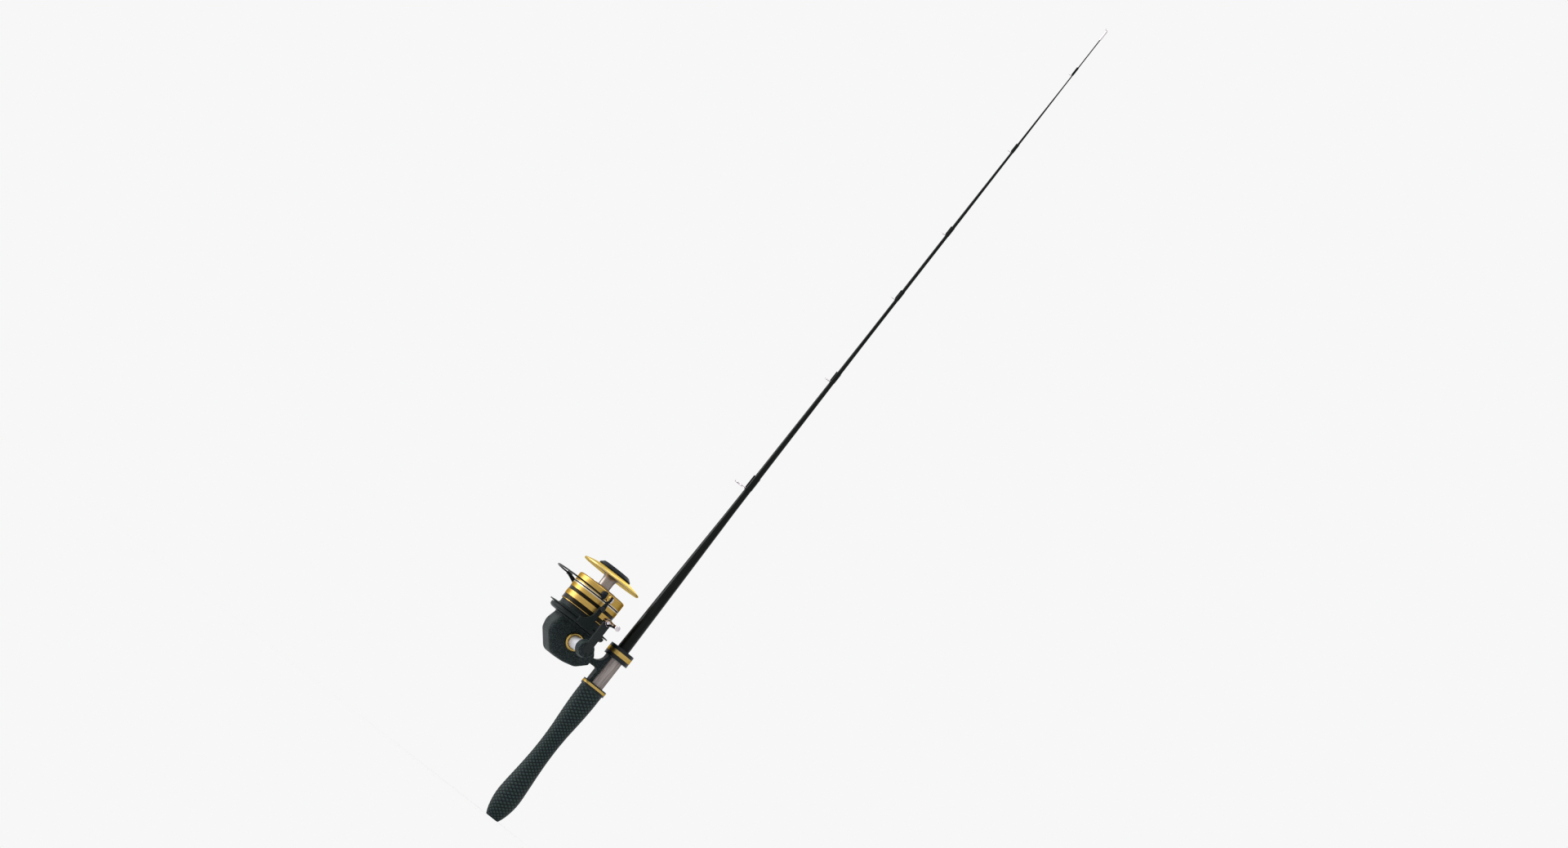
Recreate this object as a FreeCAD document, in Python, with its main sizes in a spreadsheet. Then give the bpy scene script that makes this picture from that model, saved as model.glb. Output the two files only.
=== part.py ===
import FreeCAD, Part
import math
import os
import Sketcher

# Spinning rod and reel, in millimetres.
# +Z runs up the rod from the middle of the butt, the reel hangs on the -X side,
# and the crank handle is on the -Y side.

doc = FreeCAD.newDocument("SpinningRodAndReel")
sheet = doc.addObject("Spreadsheet::Sheet", "Sizes")

SIZES = {
    # rod
    "rod_length": 1371.6,
    "grip_top": 219.7,
    "grip_swell": 17.9,
    "grip_waist": 13.1,
    "grip_shoulder": 17.3,
    "butt_flat": 9.5,
    "land_low": 30.0,
    "land_high": 42.0,
    "blank_butt": 9.1,
    "blank_tip": 0.75,
    "collar": 18.9,
    "seat_tube": 11.2,
    "seat_low": 227.8,
    "seat_high": 271.4,
    "nut_top": 288.6,
    # reel foot and case
    "spool_x": -78.0,
    "foot_x": -13.8,
    "foot_half_width": 6.6,
    "foot_low": 226.1,
    "foot_high": 275.0,
    "case_half_width": 20.0,
    "case_top": 275.2,
    "case_nose": 32.3,
    "crank_x": -69.6,
    "crank_z": 255.0,
    "cover_radius": 17.2,
    "bearing_outer": 8.0,
    "bush_outer": 9.5,
    # gears
    "axle": 3.0,
    "axle_near": 62.0,
    "axle_far": 20.9,
    "pinion_neck": 3.95,
    "pinion_top": 292.4,
    # spool
    "skirt_outer": 37.3,
    "skirt_inner": 36.1,
    "skirt_low": 294.0,
    "skirt_high": 336.8,
    "arbor": 9.0,
    "lip": 45.7,
    "lip_z": 357.0,
    "drag_base": 25.8,
    "drag_face": 21.6,
    "drag_top": 368.4,
    "shaft": 2.0,
    # rotor and bail
    "rotor_low": 275.9,
    "rotor_disc": 44.3,
    "rotor_flange": 48.4,
    "rotor_neck": 35.4,
    "bail_pivot_z": 312.0,
    "arm_inner": 44.4,
    "arm_outer": 49.4,
    "bail_side": 51.0,
    "bail_reach": 67.5,
    "bail_wire": 1.2,
    "wire_z": 326.0,
    "roller_z": 328.6,
    # crank
    "hub_back": 65.0,
    "hub_face": 79.0,
    "hub_radius": 12.9,
    "crank_radius": 46.5,
    "crank_arm_width": 10.7,
    "knob_end": 124.0,
    # running clearances
    "run_fit": 0.05,
    "gap": 0.4,
}


class Dim:
    """A size and the spreadsheet expression it comes from."""

    def __init__(self, value, text):
        self.value = value
        self.text = text

    def combine(self, other, sign, flipped=False):
        value = other.value if isinstance(other, Dim) else float(other)
        text = other.text if isinstance(other, Dim) else repr(float(other))
        first, second = (value, self.value) if flipped else (self.value, value)
        left, right = (text, self.text) if flipped else (self.text, text)
        results = {"+": first + second, "-": first - second, "*": first * second}
        result = first / second if sign == "/" else results[sign]
        return Dim(result, "(%s %s %s)" % (left, sign, right))

    def __add__(self, other):
        return self.combine(other, "+")

    def __radd__(self, other):
        return self.combine(other, "+", True)

    def __sub__(self, other):
        return self.combine(other, "-")

    def __rsub__(self, other):
        return self.combine(other, "-", True)

    def __mul__(self, other):
        return self.combine(other, "*")

    def __rmul__(self, other):
        return self.combine(other, "*", True)

    def __truediv__(self, other):
        return self.combine(other, "/")

    def __neg__(self):
        return self.combine(-1.0, "*")


class Dims:
    """Every cell of the sheet as a Dim attribute."""


d = Dims()
for row, (alias, size) in enumerate(SIZES.items(), start=1):
    sheet.set("A%d" % row, alias)
    sheet.set("B%d" % row, str(size))
    sheet.setAlias("B%d" % row, alias)
    setattr(d, alias, Dim(size, "Sizes." + alias))
doc.recompute()

TOWARD_MINUS_Y = FreeCAD.Rotation(FreeCAD.Vector(1, 0, 0), 90)
TOWARD_PLUS_Y = FreeCAD.Rotation(FreeCAD.Vector(1, 0, 0), -90)
TOWARD_MINUS_X = FreeCAD.Rotation(FreeCAD.Vector(0, 1, 0), -90)
UPRIGHT = FreeCAD.Rotation()

sub_parts = []


# ---------------------------------------------------------------- helpers

def number(size):
    """The plain value of a size that may be a Dim or a number."""
    return size.value if isinstance(size, Dim) else float(size)


def bind(thing, name, size):
    """Set a property, and tie it to the sheet when the size comes from there."""
    thing.setExpression(name, size.text if isinstance(size, Dim) else repr(float(size)))


def place(thing, at, turn=UPRIGHT):
    """Placement with each coordinate tied to the sheet."""
    thing.Placement = FreeCAD.Placement(FreeCAD.Vector(*[number(value) for value in at]), turn)
    for axis, value in zip("xyz", at):
        bind(thing, ".Placement.Base." + axis, value)


def keep(thing, label):
    """Name a finished sub-part; the label is also its file's name."""
    thing.Label = label
    sub_parts.append(thing)
    return thing


def new_body(name):
    return doc.addObject("PartDesign::Body", "Body_" + name)


def new_sketch(body, name, role):
    """A sketch on one of the body's own origin planes."""
    sketch = body.newObject("Sketcher::SketchObject", name)
    planes = {feature.Role: feature for feature in body.Origin.OriginFeatures}
    sketch.AttachmentSupport = (planes[role], [""])
    sketch.MapMode = "FlatFace"
    return sketch


def hold_point(sketch, edge, end, point):
    """Fix one end of an edge at the two sizes in point."""
    for kind, size in zip(("DistanceX", "DistanceY"), point):
        index = sketch.addConstraint(Sketcher.Constraint(kind, -1, 1, edge, end, number(size)))
        if isinstance(size, Dim):
            sketch.setExpression("Constraints[%d]" % index, size.text)


def arc_between(start, finish, radius):
    """The short arc between two points: left of the way there, or right if negative."""
    chord = finish.sub(start)
    half = chord.Length / 2
    reach = math.sqrt(radius * radius - half * half)
    left = FreeCAD.Vector(-chord.y, chord.x, 0).normalize()
    centre = start.add(chord * 0.5).sub(left * math.copysign(reach, radius))
    # a circle's arc runs counter-clockwise
    in_order = (finish, start) if radius > 0 else (start, finish)
    angles = [math.atan2(spot.y - centre.y, spot.x - centre.x) for spot in in_order]
    if angles[1] < angles[0]:
        angles[1] += 2 * math.pi
    return Part.ArcOfCircle(Part.Circle(centre, FreeCAD.Vector(0, 0, 1), abs(radius)), *angles)


def outline(sketch, points):
    """A closed outline. A point is (x, y), or (x, y, radius) when an arc leaves it."""
    spots = [FreeCAD.Vector(number(point[0]), number(point[1]), 0) for point in points]
    ends = []
    for index, point in enumerate(points):
        start, finish = spots[index], spots[(index + 1) % len(points)]
        if len(point) == 2:
            edge = sketch.addGeometry(Part.LineSegment(start, finish), False)
            ends.append((edge, 1, 2))
            continue
        edge = sketch.addGeometry(arc_between(start, finish, point[2]), False)
        forward = sketch.Geometry[edge].StartPoint.sub(start).Length < 1e-6
        ends.append((edge, 1, 2) if forward else (edge, 2, 1))
        sketch.addConstraint(Sketcher.Constraint("Radius", edge, abs(point[2])))
    for index, (edge, head, tail) in enumerate(ends):
        after, next_head, _ = ends[(index + 1) % len(ends)]
        hold_point(sketch, edge, head, points[index][:2])
        sketch.addConstraint(Sketcher.Constraint("Coincident", edge, tail, after, next_head))
    return sketch


def revolve(body, name, points):
    """Turn an outline of (radius, height) points about the body's own Z."""
    sketch = outline(new_sketch(body, name + "_profile", "XZ_Plane"), points)
    feature = body.newObject("PartDesign::Revolution", name)
    feature.Profile = sketch
    feature.ReferenceAxis = (sketch, ["V_Axis"])
    feature.Angle = 360
    sketch.Visibility = False
    return feature


def turned(label, points, at=(0.0, 0.0, 0.0), turn=UPRIGHT):
    """A lathe-turned sub-part."""
    body = new_body(label)
    revolve(body, "Turned_" + label, points)
    place(body, at, turn)
    return keep(body, label)


def ring(label, inner, outer, low, high, at=(0.0, 0.0, 0.0), turn=UPRIGHT):
    """A plain ring or bush."""
    return turned(label, [(inner, low), (outer, low), (outer, high), (inner, high)], at, turn)


def pad(body, name, points, length):
    """An outline in the XZ plane, thickened equally to both sides."""
    sketch = outline(new_sketch(body, name + "_profile", "XZ_Plane"), points)
    feature = body.newObject("PartDesign::Pad", name)
    feature.Profile = sketch
    bind(feature, "Length", length)
    feature.Midplane = True
    sketch.Visibility = False
    return feature


def round_edges(body, name, radius, wanted):
    """Fillet the edges of the body's tip that the wanted test picks."""
    doc.recompute()
    tip = body.Tip
    names = ["Edge%d" % (i + 1) for i, edge in enumerate(tip.Shape.Edges) if wanted(edge)]
    feature = body.newObject("PartDesign::Fillet", name)
    feature.Base = (tip, names)
    bind(feature, "Radius", radius)
    doc.recompute()
    return feature


def primitive(kind, name, at, turn=UPRIGHT, **sizes):
    """A Part primitive with every size tied to the sheet or set."""
    thing = doc.addObject("Part::" + kind, name)
    for prop, size in sizes.items():
        bind(thing, prop, size)
    place(thing, at, turn)
    return thing


def fuse(name, shapes):
    thing = doc.addObject("Part::MultiFuse", name)
    thing.Shapes = shapes
    return thing


def cut(name, base, tool):
    thing = doc.addObject("Part::Cut", name)
    thing.Base = base
    thing.Tool = tool
    return thing


def solid_feature(label, shape):
    """A sub-part whose shape is worked out in code from the sheet's sizes."""
    thing = doc.addObject("Part::Feature", "Shape_" + label)
    thing.Shape = shape
    return keep(thing, label)


# ---------------------------------------------------------------- rod

def make_grip():
    """Moulded rear grip: a swelling at the butt, a waist and a shoulder."""
    turned("rear_grip", [
        (0.0, 0.0), (d.butt_flat, 0.0, -13.0), (14.8, 13.4, -30.0), (d.grip_swell, d.land_low),
        (d.grip_swell, d.land_high, -120.0), (15.0, 78.0, 160.0), (d.grip_waist, 118.0, 160.0),
        (15.2, 165.0, -130.0), (d.grip_shoulder, 205.0), (d.grip_shoulder, d.grip_top),
        (d.blank_butt, d.grip_top), (d.blank_butt, 8.0), (0.0, 8.0)])


def make_blank():
    """Hollow tapered blank, solid over its thin last stretch."""
    stations = [(d.blank_butt, 292.0), (7.4, 394.5), (4.9, 529.0), (3.8, 663.0), (2.6, 831.6),
                (2.3, 1033.0), (1.6, 1167.8), (0.9, 1268.0), (d.blank_tip, d.rod_length - 6.0)]
    outer = [(0.0, 8.0), (d.blank_butt, 8.0)] + stations + [(0.0, d.rod_length - 6.0)]
    bore = [(0.0, 1000.0), (1.2, 1000.0), (1.6, 831.6), (2.8, 663.0), (6.3, 394.5), (7.4, 292.0),
            (7.4, 11.0), (0.0, 11.0)]
    body = new_body("blank")
    taper = revolve(body, "Blank_taper", outer)
    sketch = outline(new_sketch(body, "Blank_bore_profile", "XZ_Plane"), bore)
    groove = body.newObject("PartDesign::Groove", "Blank_bore")
    groove.Profile = sketch
    groove.ReferenceAxis = (sketch, ["V_Axis"])
    groove.Angle = 360
    sketch.Visibility = False
    keep(body, "rod_blank")
    return taper


def foot_pocket(name, low, tall):
    """The space a collar leaves for one end of the reel's foot."""
    return primitive("Box", name, (d.foot_x - d.gap, -d.foot_half_width - d.gap, low),
                     Length=-d.foot_x, Width=(d.foot_half_width + d.gap) * 2, Height=tall)


def make_collars():
    """Seat tube, fixed lower collar, sliding hood and the nut that holds it."""
    ring("seat_tube", d.blank_butt, d.seat_tube, d.grip_top, d.nut_top - 1.6)
    lower = new_body("lower_collar")
    revolve(lower, "Lower_collar_turned", [
        (d.seat_tube, d.grip_top), (d.collar, d.grip_top), (d.collar, d.grip_top + 2.8),
        (d.collar - 2.5, d.grip_top + 2.8), (d.collar - 2.5, d.grip_top + 6.1),
        (d.collar, d.grip_top + 6.1), (d.collar, d.seat_low), (d.seat_tube, d.seat_low)])
    keep(cut("Lower_collar_cut", lower, foot_pocket("Lower_pocket", d.foot_low - d.gap, 12.0)),
         "lower_collar")
    ring("lower_collar_ring", d.collar - 2.5, d.collar, d.grip_top + 2.8, d.grip_top + 6.1)
    hood = new_body("hood")
    revolve(hood, "Hood_turned", [
        (d.seat_tube + d.run_fit, d.seat_high), (d.collar, d.seat_high),
        (d.collar, d.seat_high + 5.6), (d.seat_tube + d.run_fit, d.seat_high + 5.6)])
    pocket = foot_pocket("Hood_pocket", d.seat_high - 5.0, 9.0)
    keep(cut("Hood_cut", hood, pocket), "sliding_hood")
    nut_low = d.seat_high + 5.6 + 0.05
    turned("lock_nut", [
        (d.seat_tube + d.run_fit, nut_low), (d.collar - 3.0, nut_low),
        (d.collar - 3.0, d.nut_top - 5.1), (d.collar, d.nut_top - 5.1),
        (d.collar, d.nut_top), (d.seat_tube + d.run_fit, d.nut_top)])
    ring("lock_nut_ring", d.collar - 3.0, d.collar, nut_low, d.nut_top - 5.1)


# ring centre height, ring outer radius, wire radius, blank radius there
GUIDES = [
    (564.8, 9.2, 0.65, 4.62),
    (751.5, 4.3, 0.55, 3.20),
    (895.5, 3.4, 0.50, 2.52),
    (1008.1, 2.9, 0.45, 2.35),
    (1154.3, 2.5, 0.40, 1.69),
    (1290.0, 2.2, 0.40, 0.88),
]


def make_guide(index, height, ring_radius, wire, blank):
    """One wire line guide: a ring on the reel side, with a foot along the blank."""
    foot_length = 12.0 + ring_radius
    foot_x = -blank - wire - 0.1
    centre_x = foot_x - ring_radius + wire
    hoop = primitive("Torus", "Guide_hoop_%d" % index, (centre_x, 0.0, height),
                     Radius1=ring_radius - wire, Radius2=wire)
    foot = primitive("Cylinder", "Guide_foot_%d" % index, (foot_x, 0.0, height),
                     Radius=0.8 * wire, Height=foot_length)
    keep(fuse("Guide_%d" % index, [hoop, foot]), "line_guide_%d" % index)
    low = height + 2.0 * wire + 0.6
    tall = foot_length - 1.0
    sleeve = primitive("Cylinder", "Wrap_sleeve_%d" % index, (0.0, 0.0, low),
                       Radius=blank + 0.35, Height=tall)
    ridge = primitive("Cylinder", "Wrap_ridge_%d" % index, (foot_x, 0.0, low),
                      Radius=wire + 0.3, Height=tall)
    foot_again = primitive("Cylinder", "Wrap_bore_%d" % index, (foot_x, 0.0, height),
                           Radius=0.8 * wire, Height=foot_length)
    jacket = fuse("Wrap_jacket_%d" % index, [sleeve, ridge])
    unfooted = cut("Wrap_unfooted_%d" % index, jacket, foot_again)
    return cut("Wrap_%d" % index, unfooted, blank_taper)


def make_guides():
    """All line guides with their thread wraps, and the tip ring."""
    wraps = []
    for index, (height, ring_radius, wire, blank) in enumerate(GUIDES, start=1):
        wraps.append(make_guide(index, height, ring_radius, wire, blank))
    group = doc.addObject("Part::Compound", "Wraps")
    group.Links = wraps
    keep(group, "guide_wraps")
    tip_low = d.rod_length - 18.0
    sleeve = primitive("Cylinder", "Tip_sleeve", (0.0, 0.0, tip_low), Radius=1.35, Height=15.0)
    hoop = primitive("Torus", "Tip_hoop", (-1.2, 0.0, d.rod_length - 1.9),
                     FreeCAD.Rotation(FreeCAD.Vector(0, 1, 0), 40), Radius1=1.9, Radius2=0.5)
    keep(cut("Tip_top", fuse("Tip_joined", [sleeve, hoop]), blank_taper), "tip_top")


# ---------------------------------------------------------------- reel case

def make_case():
    """Gear case cast in one with its nose, stem and foot; it is hollow for the gears."""
    body = new_body("reel_case")
    corners = [(-111.0, 258.5, 20.0), (-108.0, 246.0, 13.0), (-88.0, 223.8, 12.0),
               (-66.0, 223.8, 45.0), (-46.0, 228.6, 16.0), (-31.5, 242.0, 4.0),
               (-31.5, 256.0, 5.0)]
    edge_points = [(x, z) for x, z, _ in corners]
    pad(body, "Case_block",
        [(-106.5, d.case_top)] + edge_points + [(-47.0, d.case_top)],
        d.case_half_width * 2)
    for index, (x, z, radius) in enumerate(corners):
        round_edges(body, "Case_corner_%d" % index, radius, lambda edge: (
            edge.BoundBox.YLength > 30.0 and abs(edge.CenterOfMass.x - x) < 0.01
            and abs(edge.CenterOfMass.z - z) < 0.01))
    side = d.case_half_width.value
    round_edges(body, "Case_rounding", 7.0, lambda edge: (
        abs(abs(edge.CenterOfMass.y) - side) < 0.01
        and min(vertex.Z for vertex in edge.Vertexes) < 274.0))
    nose = make_nose()
    doc.recompute()
    block = primitive("Box", "Stem", (-34.0, -6.0, 246.4), Length=21.0, Width=12.0, Height=8.4)
    foot_tall = d.foot_high - d.foot_low
    foot = primitive("Box", "Foot_block", (d.foot_x, -d.foot_half_width, d.foot_low),
                     Length=7.0, Width=d.foot_half_width * 2, Height=foot_tall)
    gusset = fillet_block()
    seat = primitive("Cylinder", "Foot_seat", (0.0, 0.0, d.foot_low - 1.0),
                     Radius=d.seat_tube + d.run_fit, Height=foot_tall + 2.0)
    joined = fuse("Case_joined", [body, nose, block, foot, gusset])
    seated = cut("Case_seated", joined, seat)
    return keep(cut("Case", seated, case_hollow()), "reel_case")


def case_hollow():
    """Gear bay, a well for the shaft's stroke, cover mouth, and the bearings' bores."""
    return fuse("Case_hollow", [
        primitive("Box", "Gear_bay", (-92.0, -6.0, 233.6), Length=42.0, Width=22.5, Height=38.4),
        primitive("Box", "Shaft_well", (d.spool_x - 6.0, -5.4, 229.4),
                  Length=12.0, Width=9.4, Height=6.0),
        primitive("Cylinder", "Cover_mouth", (d.crank_x, 0.0, d.crank_z), TOWARD_PLUS_Y,
                  Radius=d.cover_radius, Height=d.case_half_width + 1.0),
        primitive("Cylinder", "Bearing_seat", (d.spool_x, 0.0, 270.0),
                  Radius=d.bearing_outer, Height=20.0),
        primitive("Cylinder", "Near_bush_seat", (d.crank_x, 0.0, d.crank_z), TOWARD_MINUS_Y,
                  Radius=d.bush_outer, Height=d.case_half_width + 1.0),
        primitive("Cylinder", "Reverse_bore", (-99.0, 12.0, 261.0), TOWARD_PLUS_Y,
                  Radius=d.run_fit + 1.5, Height=10.0)])


def make_nose():
    """Round front of the case that the rotor turns over, with its bearing boss."""
    nose = new_body("case_nose")
    revolve(nose, "Case_nose_turned", [
        (0.0, 262.0), (16.4, 262.0), (16.4, 272.6), (d.case_nose, 272.9), (d.case_nose, d.case_top),
        (11.5, d.case_top), (11.5, 282.0), (0.0, 282.0)])
    place(nose, (d.spool_x, 0.0, 0.0))
    return nose


def fillet_block():
    """Swept web where the stem spreads into the foot."""
    web = new_body("foot_web")
    pad(web, "Foot_web_pad", [
        (-27.0, 246.4, 9.5), (d.foot_x, 233.0), (-10.8, 233.0), (-10.8, 267.0),
        (d.foot_x, 267.0, 14.0), (-27.0, 254.8)], 11.0)
    return web


def make_case_fittings():
    """Side cover with its screws, bearings, bezel and the cap over the axle's far end."""
    crank_axis = (d.crank_x, 0.0, d.crank_z)
    ring("side_cover", 5.05, d.cover_radius, 16.6, 21.2, crank_axis, TOWARD_PLUS_Y)
    screws = []
    for index in range(3):
        angle = math.radians(90.0 + 120.0 * index)
        centre = (d.crank_x + 13.4 * math.cos(angle), 21.2, d.crank_z + 13.4 * math.sin(angle))
        screws.append(primitive("Cone", "Cover_screw_%d" % index, centre, TOWARD_PLUS_Y,
                                Radius1=2.1, Radius2=1.7, Height=0.9))
    group = doc.addObject("Part::Compound", "Cover_screws")
    group.Links = screws
    keep(group, "cover_screws")
    ring("far_bush", d.axle + d.run_fit, 5.0, 16.6, 21.0, crank_axis, TOWARD_PLUS_Y)
    turned("axle_cap", [(0.0, 22.0), (4.9, 21.2), (8.6, 21.2), (8.6, 22.6), (7.4, 24.4), (0.0, 24.4)],
           crank_axis, TOWARD_PLUS_Y)
    ring("near_bush", 7.3 + d.run_fit, d.bush_outer - d.run_fit, 12.0, 19.6, crank_axis,
         TOWARD_MINUS_Y)
    turned("bezel", [(9.4, 20.0), (12.9, 20.0), (12.9, 22.8), (11.8, 24.4), (10.2, 24.4), (9.4, 23.6)],
           crank_axis, TOWARD_MINUS_Y)
    ring("rotor_bearing", 4.0, d.bearing_outer - d.run_fit, 275.0, 281.0, (d.spool_x, 0.0, 0.0))
    make_reverse_lever()


def make_reverse_lever():
    """Switch on the far side of the case that stops the rotor turning backward."""
    lever_at = (-99.0, 0.0, 261.0)
    disc = primitive("Cylinder", "Reverse_disc", (lever_at[0], 20.3, lever_at[2]), TOWARD_PLUS_Y,
                     Radius=3.6, Height=2.2)
    tab = primitive("Box", "Reverse_tab", (lever_at[0] - 1.6, 20.9, lever_at[2] - 10.0),
                    Length=3.2, Width=1.6, Height=9.0)
    stem = primitive("Cylinder", "Reverse_stem", (lever_at[0], 15.0, lever_at[2]), TOWARD_PLUS_Y,
                     Radius=1.5, Height=6.0)
    keep(fuse("Reverse_lever", [disc, tab, stem]), "anti_reverse_lever")


# ---------------------------------------------------------------- gears

GEAR_TEETH = 42
PINION_TEETH = 10
MESH_RADIUS = 14.5


def mesh_numbers():
    """Where the drive gear meets the pinion, and the pinion's radius and twist there."""
    offset = d.crank_x.value - d.spool_x.value
    rise = math.sqrt(MESH_RADIUS ** 2 - offset ** 2)
    lean = offset / rise
    pitch_radius = (rise + offset * lean) * PINION_TEETH / GEAR_TEETH
    return offset, rise, pitch_radius, math.degrees(lean / pitch_radius)


def polar_point(radius, degrees, height):
    angle = math.radians(degrees)
    return FreeCAD.Vector(radius * math.cos(angle), radius * math.sin(angle), height)


def pinion_section(pitch_radius, degrees, height):
    """The pinion's toothed outline, with a gap between teeth at the given angle."""
    step = 360.0 / PINION_TEETH
    points = []
    for tooth in range(PINION_TEETH):
        middle = degrees + step * (tooth + 0.5)
        points.append(polar_point(pitch_radius - 0.95, middle - 0.21 * step, height))
        points.append(polar_point(pitch_radius + 0.75, middle - 0.10 * step, height))
        points.append(polar_point(pitch_radius + 0.75, middle + 0.10 * step, height))
        points.append(polar_point(pitch_radius - 0.95, middle + 0.21 * step, height))
    return Part.makePolygon(points + [points[0]])


def make_pinion():
    """Helical pinion on a hollow neck that carries the rotor."""
    _, rise, pitch_radius, twist = mesh_numbers()
    mesh_z = d.crank_z.value + rise
    low, high = mesh_z - 4.4, mesh_z + 4.4
    levels = [low + (high - low) * step / 8 for step in range(9)]
    # the gap faces the gear's tooth, eased to the middle of its backlash
    gap_angle = 88.1
    sections = [pinion_section(pitch_radius, gap_angle + twist * (z - mesh_z), z) for z in levels]
    teeth = Part.makeLoft(sections, True, True)
    neck = Part.makeCylinder(d.pinion_neck.value, d.pinion_top.value - high,
                             FreeCAD.Vector(0, 0, high))
    bore = Part.makeCylinder(d.shaft.value + 0.1, 40.0, FreeCAD.Vector(0, 0, low - 1.0))
    pinion = teeth.fuse(neck).cut(bore)
    pinion.translate(FreeCAD.Vector(d.spool_x.value, 0, 0))
    solid_feature("pinion", pinion)


def gear_tooth(face, tip):
    """One radial tooth of the drive gear, across local X, standing from face to tip."""
    inner, outer = MESH_RADIUS - 1.6, MESH_RADIUS + 1.6
    root, crest = 0.36, 0.2
    base = Part.makePolygon([FreeCAD.Vector(inner, -root, face), FreeCAD.Vector(outer, -root, face),
                             FreeCAD.Vector(outer, root, face), FreeCAD.Vector(inner, root, face),
                             FreeCAD.Vector(inner, -root, face)])
    top = Part.makePolygon([FreeCAD.Vector(inner, -crest, tip), FreeCAD.Vector(outer, -crest, tip),
                            FreeCAD.Vector(outer, crest, tip), FreeCAD.Vector(inner, crest, tip),
                            FreeCAD.Vector(inner, -crest, tip)])
    return Part.makeLoft([base, top], True, True)


def make_drive_gear():
    """Face gear and its axle, which runs beside the main shaft and through the case."""
    offset, rise, pitch_radius, _ = mesh_numbers()
    face = pitch_radius + 1.15
    tip = pitch_radius - 0.5
    disc = Part.makeCylinder(MESH_RADIUS + 1.9, 3.0, FreeCAD.Vector(0, 0, face))
    disc = disc.cut(Part.makeCylinder(MESH_RADIUS - 3.0, 1.0, FreeCAD.Vector(0, 0, face)))
    boss = Part.makeCylinder(5.6, 16.2 - face, FreeCAD.Vector(0, 0, face))
    near_end = -d.axle_near.value
    axle = Part.makeCylinder(d.axle.value, d.axle_far.value - near_end,
                             FreeCAD.Vector(0, 0, near_end))
    solids = [boss, axle]
    # local X is the mesh direction, so a tooth stands there at rest
    for index in range(GEAR_TEETH):
        tooth = gear_tooth(face + 0.2, tip)
        tooth.rotate(FreeCAD.Vector(0, 0, 0), FreeCAD.Vector(0, 0, 1), 360.0 * index / GEAR_TEETH)
        solids.append(tooth)
    gear = disc.multiFuse(solids)
    mesh_direction = FreeCAD.Vector(-offset, 0, rise).normalize()
    along_axle = FreeCAD.Vector(0, 1, 0)
    frame = FreeCAD.Rotation(mesh_direction, along_axle.cross(mesh_direction), along_axle, "ZXY")
    gear.Placement = FreeCAD.Placement(
        FreeCAD.Vector(d.crank_x.value, 0, d.crank_z.value), frame)
    solid_feature("drive_gear", gear)


# ---------------------------------------------------------------- rotor and bail

def make_rotor():
    """Rotor: a disc, a thin flange and a cup inside the spool's skirt, with two arms."""
    body = new_body("rotor_turned")
    revolve(body, "Rotor_turned", [
        (12.2, d.rotor_low), (d.rotor_disc - 3.0, d.rotor_low, -4.2), (d.rotor_disc, 279.2),
        (d.rotor_disc, 282.0), (41.0, 282.6), (41.0, 283.4), (d.rotor_flange, 283.6),
        (d.rotor_flange, 284.7), (d.rotor_neck + 2.5, 285.8, 3.0), (d.rotor_neck, 288.0),
        (d.rotor_neck, 305.0), (d.rotor_neck - 2.2, 305.0), (d.rotor_neck - 2.2, 288.6),
        (10.0, 288.6), (3.97, 288.6), (3.97, 284.2), (12.2, 284.2)])
    place(body, (d.spool_x, 0.0, 0.0))
    arms = []
    for side, name in ((-1.0, "near"), (1.0, "far")):
        fin = new_body("rotor_arm_" + name)
        thickness = d.arm_outer - d.arm_inner
        pad(fin, "Rotor_fin_" + name, [
            (8.0, 279.0), (8.0, 286.0, 6.5), (3.4, 292.0), (3.1, 300.0),
            (3.1, d.bail_pivot_z, -3.4), (-3.1, d.bail_pivot_z), (-3.4, 300.0, 19.0),
            (-17.5, 286.4), (-17.5, 279.0)], thickness)
        middle = (d.arm_inner + d.arm_outer) / 2
        place(fin, (d.spool_x, middle * side, 0.0))
        arms.append(fin)
        root = primitive("Box", "Arm_root_" + name, (d.spool_x - 17.5, side * 41.9 - 5.0, 279.0),
                         Length=25.5, Width=10.0, Height=4.8)
        arms.append(root)
    joined = fuse("Rotor_joined", [body] + arms)
    holes = fuse("Pivot_holes", [
        primitive("Cylinder", "Pivot_hole_" + name, (d.spool_x, side * 60.0, d.bail_pivot_z),
                  TOWARD_PLUS_Y if side < 0 else TOWARD_MINUS_Y, Radius=1.6, Height=20.0)
        for side, name in ((-1.0, "near"), (1.0, "far"))])
    keep(cut("Rotor", joined, holes), "rotor")
    make_rotor_fittings()


def make_rotor_fittings():
    """Nut on the pinion's neck, and the two screws that the bail turns on."""
    nut = primitive("Prism", "Rotor_nut_hex", (d.spool_x, 0.0, 288.65), Polygon=6)
    bind(nut, "Circumradius", 7.0)
    bind(nut, "Height", 3.0)
    keep(cut("Rotor_nut", nut, primitive("Cylinder", "Rotor_nut_bore", (d.spool_x, 0.0, 287.0),
                                         Radius=3.97, Height=8.0)), "rotor_nut")
    screws = []
    for turn, name in ((TOWARD_MINUS_Y, "near"), (TOWARD_PLUS_Y, "far")):
        pin = new_body("pivot_screw_" + name)
        revolve(pin, "Pivot_screw_" + name, [
            (0.0, 44.6), (1.6, 44.6), (1.6, 54.2), (3.2, 54.2), (3.2, 54.8), (2.5, 55.5), (0.0, 55.5)])
        place(pin, (d.spool_x, 0.0, d.bail_pivot_z), turn)
        screws.append(pin)
    group = doc.addObject("Part::Compound", "Pivot_screws")
    group.Links = screws
    keep(group, "bail_pivot_screws")


def plate(name, side, points, low, high):
    """A flat lever beside a rotor arm, between two distances from the spool's axis."""
    body = new_body(name)
    pad(body, name + "_pad", points, high - low)
    place(body, (d.spool_x, (low + high) / 2 * side, 0.0))
    return body


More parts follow.
